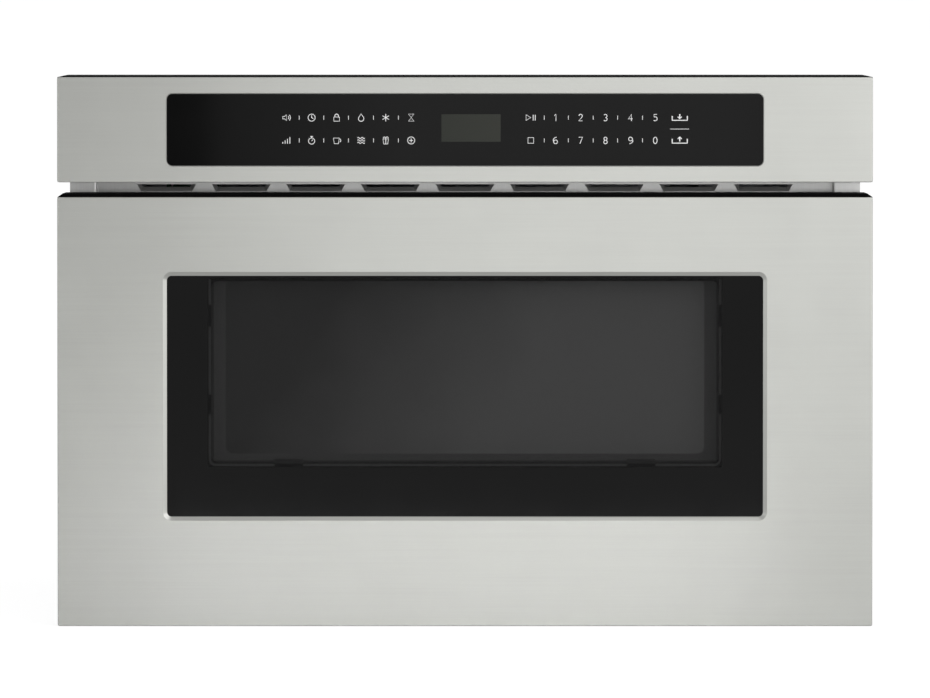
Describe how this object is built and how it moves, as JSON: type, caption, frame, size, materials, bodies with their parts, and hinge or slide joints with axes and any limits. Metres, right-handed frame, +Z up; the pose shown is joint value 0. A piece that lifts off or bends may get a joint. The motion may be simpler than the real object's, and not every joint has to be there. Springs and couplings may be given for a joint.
{
  "type": "built-in microwave drawer",
  "caption": "Built-in microwave oven whose front slides out as a drawer on telescopic slides, driven by a rack and pinion.",
  "frame": {"origin": "middle of the cabinet cut-out's front edge, on its floor: the underside of the chassis at the cabinet's face", "axes": "+X to the right seen from the front, +Y into the cabinet, +Z up"},
  "size_m": [0.6064, 0.5992, 0.4098],
  "materials": {
    "stainless_front": "brushed stainless steel, horizontal grain",
    "window_glass": "tinted glass, glossy",
    "clear_glass": "clear glass",
    "panel_glass": "black back-printed glass, glossy",
    "display": "unlit display window",
    "black_plastic": "moulded black plastic",
    "galvanised": "zinc-coated sheet steel",
    "flange_steel": "stainless sheet, fine grain",
    "cavity_paint": "pale grey painted steel",
    "screen_steel": "black painted perforated sheet",
    "ceramic": "white glass-ceramic",
    "mica_plastic": "pale moulded plastic",
    "slide_steel": "bright zinc",
    "nylon": "natural nylon",
    "aluminium": "aluminium sheet",
    "core_steel": "varnished laminations",
    "motor_steel": "plated steel can",
    "board_green": "coated circuit board",
    "can_metal": "drawn metal can",
    "grey_plastic": "grey moulded plastic",
    "screw_steel": "zinc-plated screws"
  },
  "bodies": {
    "chassis": {"air_duct": "mica_plastic", "back_panel": "galvanised", "base_plate": "galvanised", "blower_housing": "grey_plastic", "blower_motor": "motor_steel", "cavity_lamp": "grey_plastic", "chassis_screws": "screw_steel", "display_window": "display", "drive_motor": "motor_steel", "front_bulkhead": "flange_steel", "front_flange": "flange_steel", "hv_capacitor": "can_metal", "hv_transformer": "core_steel", "inlet_gland": "black_plastic", "interlock_bracket": "galvanised", "interlock_switches": "black_plastic", "left_side_panel": "galvanised", "magnetron": "motor_steel", "magnetron_fins": "aluminium", "oven_cavity": "cavity_paint", "panel_glass": "panel_glass", "panel_housing": "black_plastic", "panel_skin": "stainless_front", "power_board": "board_green", "rack_guide": "nylon", "right_side_panel": "galvanised", "slide_outer_left": "slide_steel", "slide_outer_right": "slide_steel", "stirrer_cover": "mica_plastic", "stirrer_motor": "motor_steel", "thermal_cutouts": "can_metal", "top_cover": "galvanised", "touch_board": "board_green", "waveguide": "galvanised"},
    "drawer": {"door_skin": "stainless_front", "door_glass": "window_glass", "door_frame": "black_plastic", "door_back_cover": "black_plastic", "door_screen": "screen_steel", "choke_frame": "cavity_paint", "choke_cover": "black_plastic", "drawer_tub": "cavity_paint", "inner_glass": "clear_glass", "tub_tray": "ceramic", "drawer_arm_left": "galvanised", "drawer_arm_right": "galvanised", "slide_inner_left": "slide_steel", "slide_inner_right": "slide_steel", "drive_rack": "nylon", "rack_bracket": "galvanised", "latch_tongues": "nylon", "door_screws": "screw_steel"},
    "slide_middle_left": {"slide_middle_left": "slide_steel"},
    "slide_middle_right": {"slide_middle_right": "slide_steel"},
    "outer_ball_cages": {"outer_ball_cages": "slide_steel"},
    "inner_ball_cages": {"inner_ball_cages": "slide_steel"},
    "drive_pinion": {"drive_pinion": "nylon"},
    "stirrer": {"stirrer_blades": "aluminium"},
    "blower_wheel": {"blower_wheel": "grey_plastic"},
    "interlock_levers": {"interlock_levers": "slide_steel"}
  },
  "joints": [
    {"name": "drawer_slide", "type": "slide", "parent": "chassis", "child": "drawer", "axis": [0, -1, 0], "range_m": [0, 0.38]},
    {"name": "left_middle_slide", "type": "slide", "parent": "chassis", "child": "slide_middle_left", "axis": [0, -1, 0], "range_m": [0, 0.19]},
    {"name": "right_middle_slide", "type": "slide", "parent": "chassis", "child": "slide_middle_right", "axis": [0, -1, 0], "range_m": [0, 0.19]},
    {"name": "outer_cage_slide", "type": "slide", "parent": "chassis", "child": "outer_ball_cages", "axis": [0, -1, 0], "range_m": [0, 0.095]},
    {"name": "inner_cage_slide", "type": "slide", "parent": "chassis", "child": "inner_ball_cages", "axis": [0, -1, 0], "range_m": [0, 0.285]},
    {"name": "pinion_spin", "type": "hinge", "parent": "chassis", "child": "drive_pinion", "pos_m": [0.021, 0.05, 0.034], "axis": [0, 0, 1], "range_deg": [0, 1556]},
    {"name": "stirrer_spin", "type": "hinge", "parent": "chassis", "child": "stirrer", "pos_m": [0, 0.2336, 0.256], "axis": [0, 0, 1], "continuous": true},
    {"name": "blower_spin", "type": "hinge", "parent": "chassis", "child": "blower_wheel", "pos_m": [-0.185, 0.486, 0.072], "axis": [0, 1, 0], "continuous": true},
    {"name": "lever_press", "type": "hinge", "parent": "chassis", "child": "interlock_levers", "pos_m": [0.2577, 0.05, 0.24], "axis": [0, 0, -1], "range_deg": [0, 3], "stiffness_Nm_per_rad": 0.02}
  ],
  "couplings": [
    {"joint": "left_middle_slide", "follows": "drawer_slide", "ratio": 0.5},
    {"joint": "right_middle_slide", "follows": "drawer_slide", "ratio": 0.5},
    {"joint": "outer_cage_slide", "follows": "drawer_slide", "ratio": 0.25},
    {"joint": "inner_cage_slide", "follows": "drawer_slide", "ratio": 0.75},
    {"joint": "pinion_spin", "follows": "drawer_slide", "rad_per_m": 71.429}
  ]
}
